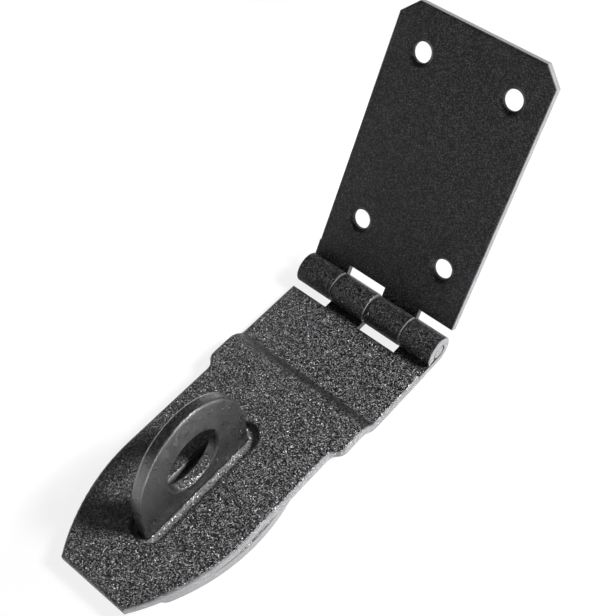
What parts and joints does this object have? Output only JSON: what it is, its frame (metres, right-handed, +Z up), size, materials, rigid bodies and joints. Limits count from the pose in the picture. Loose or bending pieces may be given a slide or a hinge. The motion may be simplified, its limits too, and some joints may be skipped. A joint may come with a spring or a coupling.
{
  "type": "hasp",
  "caption": "Hinged hasp with a screw-on leaf, a joggled slotted strap and a separate padlock staple whose eye stands up through the slot; black textured powder coat.",
  "frame": {"origin": "middle of the footprint, on the surface the strap and the staple plate lie on", "axes": "+X along the hinge pin, +Y from the strap's nose towards the hinge and the leaf, +Z up out of the surface, the way the eye points"},
  "size_m": [0.0406, 0.1278, 0.0653],
  "materials": {
    "black_powder_coat": "coarse black powder coat on steel sheet, low sheen"
  },
  "bodies": {
    "strap": {"strap": "black_powder_coat", "staple": "black_powder_coat"},
    "leaf": {"leaf": "black_powder_coat", "hinge_pin": "black_powder_coat"}
  },
  "joints": [
    {"name": "leaf_hinge", "type": "hinge", "parent": "strap", "child": "leaf", "pos_m": [0, 0.02731, 0.004], "axis": [1, 0, 0], "range_deg": [-62, 93]}
  ]
}
